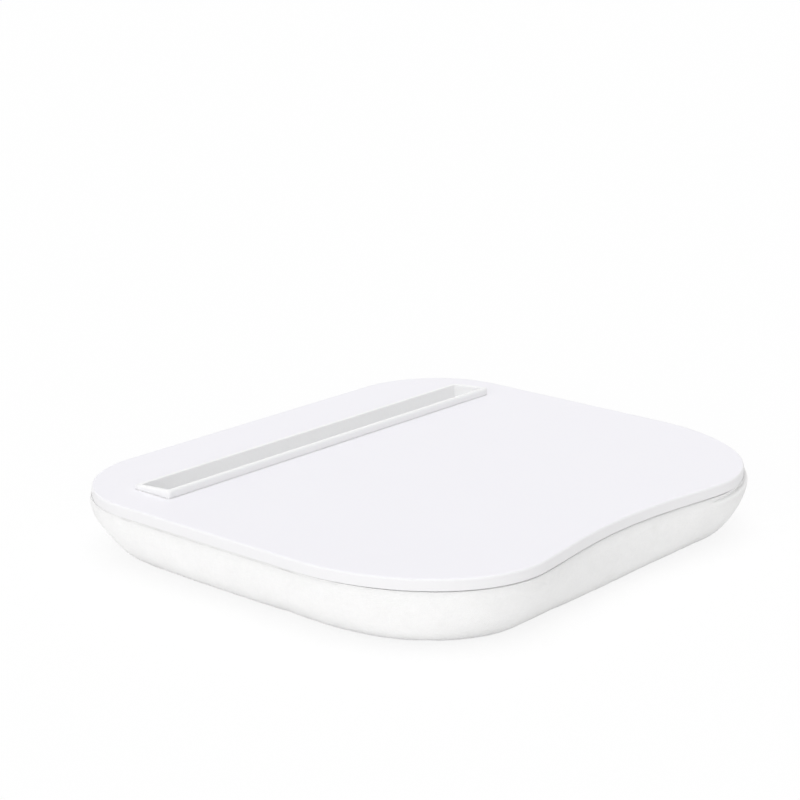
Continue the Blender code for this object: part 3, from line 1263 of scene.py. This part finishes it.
@dataclass
class CushionForm:
    """The cushion's section: crest under the board, bulge, drawn-in side and crowned bottom.

    Attributes:
        bulge: How far it stands out beyond the board.
        bulge_drop: How far below its crest it stands out most.
        side_power: How full its side is.
        crown: How far its foot's ring is above the ground.
        floor_cut: How far the ground cuts into its crowned bottom.
        belly_fade_share: The share of its height over which the belly cut fades.
        settled_depth: How far inwards from its foot a settled place is felt.
    """

    plan: TrayPlan
    height: float
    bulge: float = 0.6 * MM
    bulge_drop: float = 3.5 * MM
    draw_in: float = 19.5 * MM
    side_power: float = 1.28
    crown: float = 0.6 * MM
    floor_cut: float = 0.5 * MM
    belly_fade_share: float = 0.89
    curve_steps: int = 200
    settlings: tuple[Settling, ...] = (
        Settling((-0.137, 0.121), 42 * MM, 8 * MM, 14 * MM, -4.0 * MM),
        Settling((-0.135, 0.123), 36 * MM, 27 * MM, 8 * MM, 1.4 * MM, 3.0 * MM),
        Settling((-0.136, -0.100), 28 * MM, 5 * MM, 8 * MM, 3.2 * MM),
        Settling((0.124, -0.120), 38 * MM, 28 * MM, 9 * MM, 2.0 * MM, 3.0 * MM),
        Settling((-0.158, 0.0), 128 * MM, 16 * MM, 14 * MM, 0.0, 1.15 * MM),
    )
    settled_depth: float = 30.0 * MM

    def belly_share(self, height: float) -> float:
        """How much of the belly cut is left at a height; near the foot the front runs straight."""
        return max(0.0, 1 - (self.height - height) / (self.height * self.belly_fade_share))

    def ring(self, count: int, outset: float, height: float) -> Points:
        """The points of one level ring."""
        outline = self.plan.outline(count, self.belly_share(height))
        return level(grown(outline, outset), height)

    def side(self, shrink: float) -> Points:
        """Outsets and heights from the bulge to the foot.

        Args:
            shrink: How far inside the cover's outer face the line lies.

        Returns:
            The line's points.
        """
        angles = np.linspace(0, QUARTER_TURN, self.curve_steps)
        start = self.height - self.bulge_drop
        cosine, sine = np.clip(np.cos(angles), 0, 1), np.clip(np.sin(angles), 0, 1)
        inward = (self.draw_in + self.bulge) * (1 - cosine ** self.side_power)
        down = (start - self.crown) * sine ** self.side_power
        return np.column_stack([self.bulge - inward - shrink * cosine,
                                start - down + shrink * sine])

    def bottom(self, foot: Points, lift: float) -> Callable[[Points], np.ndarray]:
        """The crowned bottom inside the foot.

        Args:
            foot: The foot's ring.
            lift: How far above the outer face it lies.

        Returns:
            A function that gives the heights of flat points.
        """
        turns = np.arctan2(foot[:, 1], foot[:, 0])
        order = np.argsort(turns)
        reach = np.linalg.norm(foot[:, :2], axis=1)

        def height(flat: Points) -> np.ndarray:
            """Gives the bottom's heights, which are level where the cushion stands.

            Args:
                flat: Flat points.

            Returns:
                Their heights.
            """
            edge = np.interp(np.arctan2(flat[:, 1], flat[:, 0]), turns[order], reach[order],
                             period=FULL_TURN)
            share = np.linalg.norm(flat, axis=1) / edge
            crowned = (self.crown + self.floor_cut) * share ** 2 - self.floor_cut
            return np.maximum(0, crowned) + lift

        return height

    def asides(self, points: Points, rings: Sequence[np.ndarray]) -> Points:
        """Directions out of the cushion's side, fading towards its middle.

        Args:
            points: All points of a shell.
            rings: The numbers of its rings' points, the foot's last.

        Returns:
            A flat direction at each point.
        """
        around = outward(self.plan.outline(len(rings[-1])))
        aside = np.zeros((len(points), 2))
        for ring in rings:
            aside[ring] = around
        inner = np.setdiff1d(np.arange(len(points)), np.concatenate(rings))
        gaps = np.linalg.norm(points[inner, None, :2] - points[rings[-1], :2], axis=2)
        fade = 1 - smooth_share(gaps.min(1), 0, self.settled_depth)
        aside[inner] = around[gaps.argmin(1)] * fade[:, None]
        return aside


@dataclass(frozen=True)
class Crease:
    """A fold that leaves the board's edge and runs down and to the right on the cloth.

    Attributes:
        start: Where it leaves the board's edge, on the plan.
        length: How long it is.
        run: How far below the shoulder's top it starts, down the cloth.
        slope: How steeply it runs down.
        width: Its width.
        depth: Its depth.
        full_from: The share of its length at which it is at full depth.
        fades_from: The share from which it fades.
    """

    start: tuple[float, float]
    length: float
    run: float
    slope: float
    width: float
    depth: float
    full_from: float = 0.125
    fades_from: float = 0.5

    def dip(self, points: Points, run: np.ndarray) -> np.ndarray:
        """How far the cloth is folded in.

        Args:
            points: Points on the cloth.
            run: How far down the cloth each lies.

        Returns:
            Each point's depth in the fold.
        """
        along = points[:, :2] - self.start
        far = np.linalg.norm(along, axis=1)
        begun = smooth_share(along[:, 0], 0, self.length * self.full_from)
        faded = smooth_share(far, self.length * self.fades_from, self.length)
        across = (run - self.run - self.slope * far) / self.width
        return self.depth * (begun * (1 - faded)) * np.exp(-across ** 2)


@dataclass
class CushionCover:
    """The soft cover, side and bottom in one cloth, with a hem turned in under the board.

    Attributes:
        board: The board that the cloth nestles against.
        crest_inset: How far inside the board's outline the cloth reaches the crest.
        tuck_inset: How far inside it the cloth leaves the crest for the board's edge.
        fine_reach: How far below the crest the mesh is finer.
        pressure: How hard the filling presses in the cloth simulation.
        swell_cap: How far a point may move in it.
        slack: How much larger than its form the cloth is cut.
        standing_height: The height below which the cloth stands on the ground.
        free_run: How far down the cloth lumps and settled places have their full height.
        pucker_start: How far down it the gathers may have theirs.
        pucker_share: The gathers' width, as a share of their length down the cloth.
        lean: How far the cloth rises beside the board where nothing has settled.
        lift_run: How far down the cloth all such rise has faded.
        snug_rise: How far the cloth may rise close to the board's edge.
        rise_outset: How far out it may rise more.
        rise_slope: How much more that is, for each step out.
        ceiling_slope: How steeply the board's hold on the cloth ends beside it.
    """

    form: CushionForm
    board: DeckBoard
    thickness: float = 1.0 * MM
    hem_inset: float = 9.0 * MM
    hem_drop: float = 1.5 * MM
    crest_inset: float = 4.0 * MM
    tuck_inset: float = 1.0 * MM
    shoulder_inset: float = 0.5 * MM
    shoulder_drop: float = 0.6 * MM
    shoulder_outset: float = 0.35 * MM
    shoulder_steps: int = 6
    ring_points: int = 360
    fine_reach: float = 7.0 * MM
    fine_spacing: float = 0.7 * MM
    spacing: float = 3.0 * MM
    bottom_spacing: float = 4.2 * MM
    lid_spacing: float = 12.0 * MM
    frames: int = 20
    pressure: float = 4.0
    swell_cap: float = 1.2 * MM
    slack: float = 0.004
    standing_height: float = 0.3 * MM
    lump_size: float = 55.0 * MM
    lump_height: float = 0.3 * MM
    free_run: float = 6.0 * MM
    pucker_pitch: float = 8.0 * MM
    pucker_height: float = 0.42 * MM
    pucker_middle: float = 5.0 * MM
    pucker_reach: float = 5.0 * MM
    pucker_start: float = 2.0 * MM
    pucker_share: float = 0.3
    lean: float = -0.1 * MM
    lift_run: float = 14.0 * MM
    snug_rise: float = 0.95 * MM
    rise_outset: float = 0.25 * MM
    rise_slope: float = 4.0
    board_clearance: float = 0.03 * MM
    ceiling_slope: float = 10.0
    creases: tuple[Crease, ...] = (
        Crease((0.066, -0.137), 64 * MM, 2.7 * MM, 0.01, 0.7 * MM, 2.3 * MM),
    )

    def hem(self) -> Points:
        """Outsets and heights from the hem's inner edge to the crest under the board.

        Returns:
            The line's points.
        """
        top = self.form.height
        halfway = (self.hem_inset + self.crest_inset) / 2
        return np.array([(-self.hem_inset, top - self.hem_drop),
                         (-halfway, top - self.hem_drop / 2), (-self.crest_inset, top),
                         (-self.crest_inset / 2, top), (-self.tuck_inset, top)])

    def side(self) -> Points:
        """Outsets and heights from the shoulder by the board's edge to the foot.

        Returns:
            The line's points.
        """
        centre = -self.shoulder_inset, self.form.height - self.shoulder_drop
        radii = self.shoulder_inset + self.shoulder_outset, self.shoulder_drop
        shoulder = arc(centre, radii, (1, 0), self.shoulder_steps)
        below = np.vstack([shoulder[-1:], self.form.side(0)])
        upper = below[:, 1] > self.form.height - self.fine_reach
        fine = evenly_along(below[upper], self.fine_spacing)
        rest = evenly_along(np.vstack([fine[-1:], below[~upper]]), self.spacing)
        return np.vstack([shoulder, fine, rest])

    def draft(self, material: bpy.types.Material) -> tuple[Piece, int, int]:
        """Builds the cover as one closed skin, with a lid over its opening.

        Args:
            material: Its finish.

        Returns:
            The piece, how many faces are the cover's own, and how many points are its hem's.
        """
        shell = Shell()
        hem = self.hem()
        section = np.vstack([hem, self.side()])
        rings = [shell.ring(self.form.ring(self.ring_points, *place)) for place in section]
        shell.loft(rings)
        foot = shell.points[rings[-1]]
        shell.fill(rings[-1:], self.bottom_spacing, self.form.bottom(foot, 0))
        own_faces = len(shell.faces)
        shell.fill(rings[:1], self.lid_spacing, section[0][1])
        piece = shell.piece("cushion_skin", material)

        runs = distances(section)
        edge = self.form.plan.outline(self.ring_points)
        aside = outward(foot[:, :2])
        cloth = shell.points.copy()
        rim = level(shell.points[:, :2], runs[-1])
        sides = level(self.form.asides(shell.points, rings), 0)
        for ring, run, (outset, _) in zip(rings, runs, section):
            cloth[ring] = level(foot[:, :2] + aside * (runs[-1] - run), 0)
            rim[ring] = level(edge, run - runs[len(hem)])
            sides[ring, 2] = outset
        for attribute, values in zip(Attribute, (cloth, rim, sides)):
            store(piece, attribute, values)
        return piece, own_faces, len(hem) * self.ring_points

    def inflate(self, piece: Piece, hem_points: int, own_points: int) -> None:
        """Lets the filling press the cloth out, with its hem, its lid and what it stands on held.

        Args:
            piece: The closed skin.
            hem_points: How many points, from the first, belong to the hem.
            own_points: How many points aren't the lid's.
        """
        rest = points_of(piece)
        held = piece.vertex_groups.new(name="held")
        standing = np.flatnonzero(rest[:, 2] < self.standing_height).tolist()
        held.add([*range(hem_points), *range(own_points, len(rest)), *standing], 1.0, "REPLACE")
        cloth = modified(piece, "filling_pressure", "CLOTH")
        cloth.settings.use_pressure = True
        cloth.settings.uniform_pressure_force = self.pressure
        cloth.settings.shrink_min = -self.slack
        cloth.settings.vertex_group_mass = held.name
        cloth.settings.effector_weights.gravity = 0
        cloth.collision_settings.use_collision = False
        cloth.point_cache.frame_start, cloth.point_cache.frame_end = 1, self.frames
        for number in range(1, self.frames + 1):
            bpy.context.scene.frame_set(number)
        apply_modifiers(piece)
        bpy.context.scene.frame_set(1)
        moved = points_of(piece) - rest
        most = np.linalg.norm(moved, axis=1).max()
        LOG.info("the filling moves the cloth by %.2f mm at most", most / MM)
        move_points(piece, rest + moved * min(1, self.swell_cap / most))

    def rise(self, outset: np.ndarray) -> np.ndarray:
        """How far the cloth may stand above the seam beside the board, by how far out it is."""
        return self.snug_rise + np.maximum(0, outset - self.rise_outset) * self.rise_slope

    def ceiling(self, outset: np.ndarray) -> np.ndarray:
        """How high the cloth fits, under the board, round its lower edge and beside it.

        Args:
            outset: How far outside the board's outline each point lies.

        Returns:
            The greatest height of each point.
        """
        radius = self.board.low_rounding
        inward = np.clip(radius + outset, 0, radius)
        edge = self.board.low + radius - np.sqrt(radius ** 2 - inward ** 2)
        return edge - self.board_clearance + np.maximum(0, outset) * self.ceiling_slope

    def sculpt(self, piece: Piece) -> None:
        """Adds lumps, gathers and folds, and the places where the filling has settled.

        Args:
            piece: The cover.
        """
        points = points_of(piece)
        rim, sides = stored_on(piece, Attribute.RIM), stored_on(piece, Attribute.ASIDE)
        run, outset = rim[:, 2], sides[:, 2]
        free = smooth_share(run, 0, self.free_run)
        lumps = noise_at(points, self.lump_size) * self.lump_height * free
        beneath = np.exp(-((run - self.pucker_middle) / self.pucker_reach) ** 2)
        beneath *= smooth_share(run, 0, self.pucker_start)
        gathered = level(rim[:, :2], run * self.pucker_share)
        puckers = noise_at(gathered, self.pucker_pitch) * self.pucker_height * beneath
        folds = sum(crease.dip(points, run) for crease in self.creases)
        points += normals_of(piece) * (lumps + puckers - folds)[:, None]

        lift = np.full(len(points), self.lean)
        for settling in self.form.settlings:
            push = settling.shift(points) * free
            points[:, :2] += sides[:, :2] * push[:, None]
            lift += settling.lift * settling.near(points)
            outset = outset + push
        upper = 1 - smooth_share(run, self.free_run, self.lift_run)
        beside = smooth_share(outset, -self.tuck_inset / 2, 0)
        points[:, 2] += np.minimum(lift, self.rise(outset)) * beside * upper
        points[:, 2] = np.clip(points[:, 2], 0, self.ceiling(outset))
        move_points(piece, points)

    def build(self) -> None:
        """Makes the cover: a closed skin, swollen, opened under the board, sculpted, thickened and
        smoothed.
        """
        finish = BrushedKnit("white_brushed_knit", colour=(0.886, 0.884, 0.882), roughness=0.92)
        piece, own_faces, hem_points = self.draft(finish.material())
        own_points = 1 + max(max(face.vertices) for face in piece.data.polygons[:own_faces])
        self.inflate(piece, hem_points, own_points)
        opened = bmesh.new()
        opened.from_mesh(piece.data)
        opened.faces.ensure_lookup_table()
        bmesh.ops.delete(opened, geom=opened.faces[own_faces:], context="FACES")
        opened.to_mesh(piece.data)
        opened.free()
        self.sculpt(piece)
        piece.name = "soft_cover"
        thicken(piece, self.thickness, -1)
        smooth(piece)
        settle(piece, Slot.COVER, "cushion_cover")


@dataclass
class LiningPanel:
    """The plain cloth that closes the cushion under the board, with the hem sewn to it."""

    plan: TrayPlan
    low: float
    high: float
    edge_inset: float = 4.5 * MM
    ring_points: int = 240
    spacing: float = 9.0 * MM
    ripple: float = 0.12 * MM
    ripple_size: float = 40.0 * MM
    thickness: float = 0.6 * MM

    def build(self, beneath: Piece) -> None:
        """Makes the panel.

        Args:
            beneath: The piece that it lies on; not used.
        """
        outline = grown(self.plan.outline(self.ring_points), -self.edge_inset)
        middle = (self.low + self.high) / 2
        shell = Shell()
        shell.fill([shell.ring(level(outline, middle))], self.spacing, lambda flat: (
            middle + noise_at(level(flat, 0), self.ripple_size) * self.ripple))
        finish = PlainWeave("undyed_plain_weave", colour=(0.80, 0.80, 0.79), roughness=0.92)
        piece = shell.piece("lining_panel", finish.material())
        thicken(piece, self.thickness, 0)
        following = np.roll(outline, -1, 0)
        area = abs((outline[:, 0] * following[:, 1] - outline[:, 1] * following[:, 0]).sum()) / 2
        settle(piece, Slot.LINING, "cushion_top_panel")


@dataclass
class BeadBag:
    """The thin inner bag, whose loose beads give the cushion its form.

    Attributes:
        inside: How far inside the cover's outer face the bag's cloth lies.
        clearance: The gap that is left beyond that.
    """

    form: CushionForm
    top: float
    inside: float = 1.5 * MM
    edge_inset: float = 4.5 * MM
    ring_points: int = 220
    spacing: float = 6.0 * MM
    clearance: float = 0.5 * MM
    lump_size: float = 22.0 * MM
    lump_height: float = 0.45 * MM

    def build(self) -> Piece:
        """Makes the bag.

        Returns:
            The piece.
        """
        shell = Shell()
        shrink = self.inside + self.clearance
        side = self.form.side(shrink)
        side = evenly_along(side[side[:, 1] < self.top - self.spacing / 2], self.spacing)
        top = self.top - self.lump_height
        section = [(-self.edge_inset - self.spacing / 2, top),
                   (-self.edge_inset, top - self.spacing / 4), *side]
        rings = [shell.ring(self.form.ring(self.ring_points, *place)) for place in section]
        shell.loft(rings)
        bottom = self.form.bottom(shell.points[rings[-1]], shrink)
        shell.fill(rings[-1:], self.spacing, bottom)
        shell.fill(rings[:1], self.spacing, top)
        finish = PlainWeave("thin_bag_cloth", colour=(0.76, 0.77, 0.78), roughness=0.9,
                            pitch=0.35 * MM, depth=0.02 * MM, bead_depth=0.5 * MM)
        piece = shell.piece("filled_bag", finish.material())
        points = points_of(piece)
        lumps = noise_at(points, self.lump_size) * self.lump_height - self.lump_height
        points += normals_of(piece) * lumps[:, None]
        aside = self.form.asides(points, rings)
        for settling in self.form.settlings:
            points[:, :2] += aside * settling.shift(points)[:, None]
        move_points(piece, points)
        smooth(piece)
        settle(piece, Slot.BAG, "bead_bag")
        return piece


@dataclass
class TapeStrips:
    """Strips of hook tape under the board, or of loop tape on the cushion.

    Attributes:
        points_up: Whether the pile stands up or hangs down.
        edge_share: How near the strip's edge a bristle may stand, as a share of the margin.
        loop_reach: How far a loop's feet are from its middle.
        hook_reach: How wide and how high a hook's bend is.
        hook_end: Where that bend ends, in quarter turns.
        sway: How far the bristles are turned about their own axes, in radians.
    """

    pile: Pile
    slot: Slot
    points_up: bool
    finish: Finish
    backing: float = 0.5 * MM
    corner_radius: float = 3.0 * MM
    corner_steps: int = 6
    pitch: float = 1.9 * MM
    margin: float = 1.4 * MM
    edge_share: float = 0.8
    yarn_radius: float = 0.09 * MM
    yarn_sides: int = 5
    yarn_steps: int = 7
    loop_reach: float = 0.42 * MM
    hook_reach: float = 0.26 * MM
    hook_end: float = -0.4
    sway: float = 0.35
    places: tuple[str, ...] = ("front_left", "front_right", "back_left", "back_right")
    seed: int = 11

    def bristle(self, height: float) -> Shell:
        """One hook or loop.

        Args:
            height: How far it stands up.

        Returns:
            Its form, standing on the origin.
        """
        tall = height - self.yarn_radius
        if self.pile is Pile.LOOPS:
            path = arc((0, 0), (self.loop_reach, tall), (0, 2), self.yarn_steps)
        else:
            bend = arc((self.hook_reach / 2, tall - self.hook_reach),
                       (self.hook_reach / 2, self.hook_reach), (2, self.hook_end), self.yarn_steps)
            path = np.vstack([[(0, 0)], bend])
        return bent_rod(path, self.yarn_radius, self.yarn_sides)

    def strip(self, size: Vector) -> bpy.types.Mesh:
        """One strip, centred on the origin.

        Args:
            size: Its length, width and height.

        Returns:
            The mesh.
        """
        shell = Shell()
        outline = rounded_rectangle(size.x, size.y, self.corner_radius, self.corner_steps)
        facing = 1 if self.points_up else -1
        back, ground = -facing * size.z / 2, facing * (self.backing - size.z / 2)
        rings = [shell.ring(level(outline, height)) for height in (back, ground)]
        shell.loft(rings)
        shell.cap(*rings)
        x, y = (np.arange(self.margin - side / 2, side / 2 - self.margin, self.pitch)
                for side in (size.x, size.y))
        origins = np.stack(np.meshgrid(x, y), -1).reshape(-1, 2)
        origins = origins[inside(origins, grown(outline, -self.margin * self.edge_share))]
        turns = np.random.default_rng(self.seed).normal(0, self.sway, len(origins))
        cosine, sine, nothing = np.cos(turns), np.sin(turns), np.zeros(len(turns))
        directions = ((cosine, sine, nothing), (-sine, cosine, nothing),
                      (nothing, nothing, nothing + facing))
        axes = np.stack([np.column_stack(direction) for direction in directions], 1)
        shell.stamp(self.bristle(size.z - self.backing), level(origins, ground), axes)
        piece = shell.piece(f"{self.pile.value}_strip", self.finish.material())
        mesh = piece.data
        bpy.data.objects.remove(piece)
        return mesh

    def build(self) -> None:
        """Makes the four strips, which share a mesh."""
        mesh = None
        for place in self.places:
            node = f"{self.pile.value}_{place}"
            low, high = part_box(node)
            mesh = mesh or self.strip(high - low)
            piece = placed(f"{node}_strip", mesh)
            piece.location = (low + high) / 2
            settle(piece, self.slot, node)


# Studio


def seen_rays(graph: Graph) -> Wire:
    """Tells the rays that show a background from those that light the object.

    Args:
        graph: The material's or world's graph.

    Returns:
        1 for what is seen directly, in a shine or through glass, and 0 for the rest.
    """
    camera = graph.node("ShaderNodeLightPath", output="Is Camera Ray")
    shine = graph.math("MAXIMUM", camera.also("Is Glossy Ray"), camera.also("Is Transmission Ray"))
    return graph.math("MAXIMUM", camera, shine)


@dataclass(frozen=True)
class SoftLamp:
    """A broad lamp far away, which doesn't show in a shine.

    Attributes:
        towards: The direction from the object to it.
        width: How wide it looks from the object, in radians.
    """

    name: str
    towards: tuple[float, float, float]
    strength: float
    width: float

    def build(self) -> None:
        """Makes the lamp."""
        lamp = bpy.data.lights.new(self.name, "SUN")
        lamp.energy, lamp.angle = self.strength, self.width
        hung = placed(self.name, lamp)
        hung.rotation_euler = Vector(self.towards).to_track_quat("Z", "Y").to_euler()
        hung.visible_glossy = False


@dataclass(frozen=True)
class StudioLight:
    """Even white surroundings, a broad soft lamp overhead and two low ones on the left.

    Attributes:
        ambient: How brightly the surroundings light the object.
    """

    ambient: float = 0.5
    lamps: tuple[SoftLamp, ...] = (
        SoftLamp("overhead_lamp", (0.0, 0.0, 1.0), 1.263, math.radians(50)),
        SoftLamp("low_left_lamp", (-1.0, 0.0, 0.15), 0.801, math.radians(60)),
        SoftLamp("low_front_left_lamp", (-0.75, -0.6, 0.3), 0.71, math.radians(60)),
    )

    def build(self) -> None:
        """Makes the world and the lamps."""
        world = bpy.data.worlds.new("white_surroundings")
        graph = Graph(world)
        colour = graph.blend(seen_rays(graph), (self.ambient,) * 3, WHITE)
        graph.feed(graph.tree.nodes["Background"], {"Color": colour})
        bpy.context.scene.world = world
        for lamp in self.lamps:
            lamp.build()


@dataclass(frozen=True)
class StudioFloor:
    """A pale level floor that keeps the object's shadow and isn't seen from below.

    Attributes:
        glow: How much of what the camera sees is plain white.
    """

    reach: float = 30.0
    colour: Colour = (0.95, 0.95, 0.95)
    glow: float = 0.86

    def build(self) -> None:
        """Makes the floor."""
        material = bpy.data.materials.new("pale_floor")
        graph = Graph(material)
        plain = graph.node("ShaderNodeBsdfDiffuse", inputs={"Color": self.colour})
        white = graph.node("ShaderNodeEmission", inputs={"Color": WHITE, "Strength": 1.0})
        clear = graph.node("ShaderNodeBsdfTransparent")
        glow = seen_rays(graph) * self.glow
        lit = graph.node("ShaderNodeMixShader", inputs={0: glow, 1: plain, 2: white})
        below = graph.node("ShaderNodeNewGeometry", output="Backfacing")
        surface = graph.node("ShaderNodeMixShader", inputs={0: below, 1: lit, 2: clear})
        graph.feed(graph.tree.nodes["Material Output"], {"Surface": surface})
        shell = Shell()
        signs = np.array([(-1, -1, 0), (1, -1, 0), (1, 1, 0), (-1, 1, 0)])
        shell.cap(shell.ring(signs * self.reach))
        shell.piece("studio_floor", material)


@dataclass(frozen=True)
class PhotoCamera:
    """The camera of the photograph.

    Attributes:
        heading: Where it looks, from +Y towards +X.
        dip: How far it looks down.
        roll: How far it is turned about its own axis.
        focal_length: In millimetres.
        sensor_width: In millimetres.
        shift: How far the picture's middle lies beside the axis.
    """

    place: tuple[float, float, float] = (-0.78207, -0.68697, 0.37322)
    heading: float = math.radians(48.231)
    dip: float = math.radians(16.018)
    roll: float = math.radians(-0.5997)
    focal_length: float = 90.42
    sensor_width: float = 36.0
    shift: tuple[float, float] = (-0.0181, 0.0032)

    def build(self) -> None:
        """Makes the camera the scene's."""
        reach = math.cos(self.dip)
        forward = Vector((math.sin(self.heading) * reach, math.cos(self.heading) * reach,
                          -math.sin(self.dip)))
        level_right = Vector((math.cos(self.heading), -math.sin(self.heading), 0))
        plain_up = level_right.cross(forward)
        right = level_right * math.cos(self.roll) + plain_up * math.sin(self.roll)
        axes = Matrix((right, right.cross(forward), -forward)).transposed()
        lens = bpy.data.cameras.new("photo_camera")
        lens.sensor_width = self.sensor_width
        lens.lens = self.focal_length
        lens.shift_x, lens.shift_y = self.shift
        camera = placed("photo_camera", lens)
        camera.matrix_world = Matrix.LocRotScale(Vector(self.place), axes, None)
        bpy.context.scene.camera = camera


def main() -> None:
    """Builds the tray, from the board down, and the studio round it."""
    bpy.context.scene.view_settings.view_transform = "Standard"
    board_low, board_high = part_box("deck_board")
    panel_low, panel_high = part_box("cushion_top_panel")
    plan = TrayPlan(board_high.x - board_low.x, board_high.y - board_low.y)
    insert = SlotInsert(*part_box("slot_insert"), board_low.z, board_high.z)
    board = DeckBoard(plan, insert, board_low.z, board_high.z)
    form = CushionForm(plan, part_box("cushion_cover")[1].z)

    board.build()
    insert.build()
    CushionCover(form, board).build()
    bag = BeadBag(form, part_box("bead_bag")[1].z).build()
    LiningPanel(plan, panel_low.z, panel_high.z).build(bag)
    hook_yarn = TapeYarn("hook_tape_yarn", colour=(0.74, 0.74, 0.73), roughness=0.55)
    loop_yarn = TapeYarn("loop_tape_yarn", colour=(0.78, 0.78, 0.77), roughness=0.95,
                         rib_pitch=1.1 * MM)
    TapeStrips(Pile.HOOKS, Slot.HOOK_TAPE, False, hook_yarn).build()
    TapeStrips(Pile.LOOPS, Slot.LOOP_TAPE, True, loop_yarn).build()
    StudioLight().build()
    StudioFloor().build()
    PhotoCamera().build()


if __name__ == "__main__":
    logging.basicConfig(level=logging.INFO, format="%(message)s")
    main()
